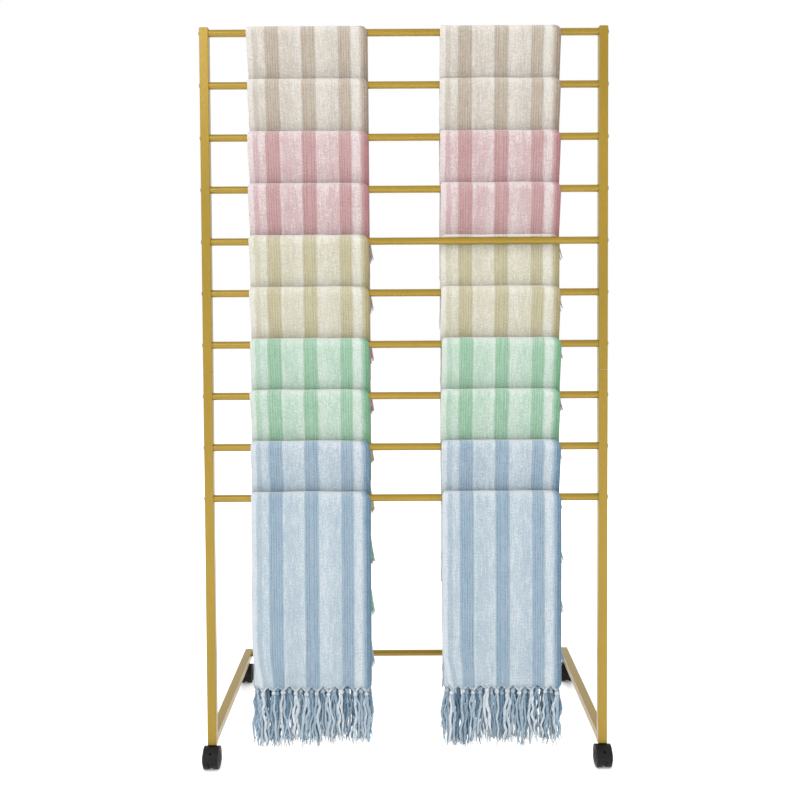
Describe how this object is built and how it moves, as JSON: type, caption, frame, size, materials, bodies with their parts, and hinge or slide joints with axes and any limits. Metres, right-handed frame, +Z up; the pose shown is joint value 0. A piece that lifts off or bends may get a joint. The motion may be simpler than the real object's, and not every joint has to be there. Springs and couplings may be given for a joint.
{
  "type": "blanket display rack with folded throws",
  "caption": "Wheeled tube rack with crosswise rungs in two columns of folded, fringed striped throws, on swivelling twin-wheel casters.",
  "frame": {"origin": "on the floor, under the middle of the whole object's box", "axes": "+Z up, +X to the right seen from the front, the rungs and the throws face -Y and the base tubes run back to +Y"},
  "size_m": [1.0048, 0.6316, 1.8027],
  "materials": {
    "gold_paint": "satin",
    "gold_caps": "satin",
    "steel": "satin",
    "black_plastic": "matt",
    "wheel_plastic": "satin",
    "throw_cream": "matt woven cotton",
    "throw_pink": "matt woven cotton",
    "throw_khaki": "matt woven cotton",
    "throw_green": "matt woven cotton",
    "throw_blue": "matt woven cotton"
  },
  "bodies": {
    "rack": {"upright_upper_left": "gold_paint", "upright_upper_right": "gold_paint", "upright_lower_left": "gold_paint", "upright_lower_right": "gold_paint", "base_tube_left": "gold_paint", "base_tube_right": "gold_paint", "rear_rail": "gold_paint", "rung_01": "gold_paint", "rung_02": "gold_paint", "rung_03": "gold_paint", "rung_04": "gold_paint", "rung_05": "gold_paint", "rung_06": "gold_paint", "rung_07": "gold_paint", "rung_08": "gold_paint", "rung_09": "gold_paint", "rung_10": "gold_paint", "sleeve_connectors": "steel", "end_caps": "gold_caps", "rung_screws": "gold_paint", "rung_end_plugs": "steel", "caster_sockets": "black_plastic"},
    "caster_fl": {"caster_fl_hood": "black_plastic", "caster_fl_pins": "steel"},
    "caster_fl_wheel_left": {"caster_fl_wheel_left": "wheel_plastic"},
    "caster_fl_wheel_right": {"caster_fl_wheel_right": "wheel_plastic"},
    "caster_fr": {"caster_fr_hood": "black_plastic", "caster_fr_pins": "steel"},
    "caster_fr_wheel_left": {"caster_fr_wheel_left": "wheel_plastic"},
    "caster_fr_wheel_right": {"caster_fr_wheel_right": "wheel_plastic"},
    "caster_rl": {"caster_rl_hood": "black_plastic", "caster_rl_pins": "steel"},
    "caster_rl_wheel_left": {"caster_rl_wheel_left": "wheel_plastic"},
    "caster_rl_wheel_right": {"caster_rl_wheel_right": "wheel_plastic"},
    "caster_rr": {"caster_rr_hood": "black_plastic", "caster_rr_pins": "steel"},
    "caster_rr_wheel_left": {"caster_rr_wheel_left": "wheel_plastic"},
    "caster_rr_wheel_right": {"caster_rr_wheel_right": "wheel_plastic"},
    "quilt_01_left": {"quilt_01_left": "throw_cream"},
    "quilt_02_left": {"quilt_02_left": "throw_cream"},
    "quilt_03_left": {"quilt_03_left": "throw_pink"},
    "quilt_04_left": {"quilt_04_left": "throw_pink"},
    "quilt_05_left": {"quilt_05_left": "throw_khaki"},
    "quilt_06_left": {"quilt_06_left": "throw_khaki"},
    "quilt_07_left": {"quilt_07_left": "throw_green"},
    "quilt_08_left": {"quilt_08_left": "throw_green"},
    "quilt_09_left": {"quilt_09_left": "throw_blue"},
    "quilt_10_left": {"quilt_10_left": "throw_blue"},
    "quilt_01_right": {"quilt_01_right": "throw_cream"},
    "quilt_02_right": {"quilt_02_right": "throw_cream"},
    "quilt_03_right": {"quilt_03_right": "throw_pink"},
    "quilt_04_right": {"quilt_04_right": "throw_pink"},
    "quilt_05_right": {"quilt_05_right": "throw_khaki"},
    "quilt_06_right": {"quilt_06_right": "throw_khaki"},
    "quilt_07_right": {"quilt_07_right": "throw_green"},
    "quilt_08_right": {"quilt_08_right": "throw_green"},
    "quilt_09_right": {"quilt_09_right": "throw_blue"},
    "quilt_10_right": {"quilt_10_right": "throw_blue"}
  },
  "joints": [
    {"name": "caster_fl_swivel", "type": "hinge", "parent": "rack", "child": "caster_fl", "pos_m": [-0.479, -0.27325, 0.06], "axis": [0, 0, 1], "continuous": true},
    {"name": "caster_fl_wheel_left_spin", "type": "hinge", "parent": "caster_fl", "child": "caster_fl_wheel_left", "pos_m": [-0.479, -0.28725, 0.025], "axis": [1, 0, 0], "continuous": true},
    {"name": "caster_fl_wheel_right_spin", "type": "hinge", "parent": "caster_fl", "child": "caster_fl_wheel_right", "pos_m": [-0.479, -0.28725, 0.025], "axis": [1, 0, 0], "continuous": true},
    {"name": "caster_fr_swivel", "type": "hinge", "parent": "rack", "child": "caster_fr", "pos_m": [0.479, -0.27325, 0.06], "axis": [0, 0, 1], "continuous": true},
    {"name": "caster_fr_wheel_left_spin", "type": "hinge", "parent": "caster_fr", "child": "caster_fr_wheel_left", "pos_m": [0.479, -0.28725, 0.025], "axis": [1, 0, 0], "continuous": true},
    {"name": "caster_fr_wheel_right_spin", "type": "hinge", "parent": "caster_fr", "child": "caster_fr_wheel_right", "pos_m": [0.479, -0.28725, 0.025], "axis": [1, 0, 0], "continuous": true},
    {"name": "caster_rl_swivel", "type": "hinge", "parent": "rack", "child": "caster_rl", "pos_m": [-0.479, 0.26675, 0.06], "axis": [0, 0, 1], "continuous": true},
    {"name": "caster_rl_wheel_left_spin", "type": "hinge", "parent": "caster_rl", "child": "caster_rl_wheel_left", "pos_m": [-0.479, 0.25275, 0.025], "axis": [1, 0, 0], "continuous": true},
    {"name": "caster_rl_wheel_right_spin", "type": "hinge", "parent": "caster_rl", "child": "caster_rl_wheel_right", "pos_m": [-0.479, 0.25275, 0.025], "axis": [1, 0, 0], "continuous": true},
    {"name": "caster_rr_swivel", "type": "hinge", "parent": "rack", "child": "caster_rr", "pos_m": [0.479, 0.26675, 0.06], "axis": [0, 0, 1], "continuous": true},
    {"name": "caster_rr_wheel_left_spin", "type": "hinge", "parent": "caster_rr", "child": "caster_rr_wheel_left", "pos_m": [0.479, 0.25275, 0.025], "axis": [1, 0, 0], "continuous": true},
    {"name": "caster_rr_wheel_right_spin", "type": "hinge", "parent": "caster_rr", "child": "caster_rr_wheel_right", "pos_m": [0.479, 0.25275, 0.025], "axis": [1, 0, 0], "continuous": true},
    {"name": "quilt_01_left_slide", "type": "slide", "parent": "rack", "child": "quilt_01_left", "axis": [1, 0, 0], "range_m": [-0.08, 0.075]},
    {"name": "quilt_02_left_slide", "type": "slide", "parent": "rack", "child": "quilt_02_left", "axis": [1, 0, 0], "range_m": [-0.08, 0.075]},
    {"name": "quilt_03_left_slide", "type": "slide", "parent": "rack", "child": "quilt_03_left", "axis": [1, 0, 0], "range_m": [-0.08, 0.075]},
    {"name": "quilt_04_left_slide", "type": "slide", "parent": "rack", "child": "quilt_04_left", "axis": [1, 0, 0], "range_m": [-0.08, 0.075]},
    {"name": "quilt_05_left_slide", "type": "slide", "parent": "rack", "child": "quilt_05_left", "axis": [1, 0, 0], "range_m": [-0.08, 0.075]},
    {"name": "quilt_06_left_slide", "type": "slide", "parent": "rack", "child": "quilt_06_left", "axis": [1, 0, 0], "range_m": [-0.08, 0.075]},
    {"name": "quilt_07_left_slide", "type": "slide", "parent": "rack", "child": "quilt_07_left", "axis": [1, 0, 0], "range_m": [-0.08, 0.075]},
    {"name": "quilt_08_left_slide", "type": "slide", "parent": "rack", "child": "quilt_08_left", "axis": [1, 0, 0], "range_m": [-0.08, 0.075]},
    {"name": "quilt_09_left_slide", "type": "slide", "parent": "rack", "child": "quilt_09_left", "axis": [1, 0, 0], "range_m": [-0.08, 0.075]},
    {"name": "quilt_10_left_slide", "type": "slide", "parent": "rack", "child": "quilt_10_left", "axis": [1, 0, 0], "range_m": [-0.08, 0.075]},
    {"name": "quilt_01_right_slide", "type": "slide", "parent": "rack", "child": "quilt_01_right", "axis": [1, 0, 0], "range_m": [-0.075, 0.08]},
    {"name": "quilt_02_right_slide", "type": "slide", "parent": "rack", "child": "quilt_02_right", "axis": [1, 0, 0], "range_m": [-0.075, 0.08]},
    {"name": "quilt_03_right_slide", "type": "slide", "parent": "rack", "child": "quilt_03_right", "axis": [1, 0, 0], "range_m": [-0.075, 0.08]},
    {"name": "quilt_04_right_slide", "type": "slide", "parent": "rack", "child": "quilt_04_right", "axis": [1, 0, 0], "range_m": [-0.075, 0.08]},
    {"name": "quilt_05_right_slide", "type": "slide", "parent": "rack", "child": "quilt_05_right", "axis": [1, 0, 0], "range_m": [-0.075, 0.08]},
    {"name": "quilt_06_right_slide", "type": "slide", "parent": "rack", "child": "quilt_06_right", "axis": [1, 0, 0], "range_m": [-0.075, 0.08]},
    {"name": "quilt_07_right_slide", "type": "slide", "parent": "rack", "child": "quilt_07_right", "axis": [1, 0, 0], "range_m": [-0.075, 0.08]},
    {"name": "quilt_08_right_slide", "type": "slide", "parent": "rack", "child": "quilt_08_right", "axis": [1, 0, 0], "range_m": [-0.075, 0.08]},
    {"name": "quilt_09_right_slide", "type": "slide", "parent": "rack", "child": "quilt_09_right", "axis": [1, 0, 0], "range_m": [-0.075, 0.08]},
    {"name": "quilt_10_right_slide", "type": "slide", "parent": "rack", "child": "quilt_10_right", "axis": [1, 0, 0], "range_m": [-0.075, 0.08]}
  ]
}
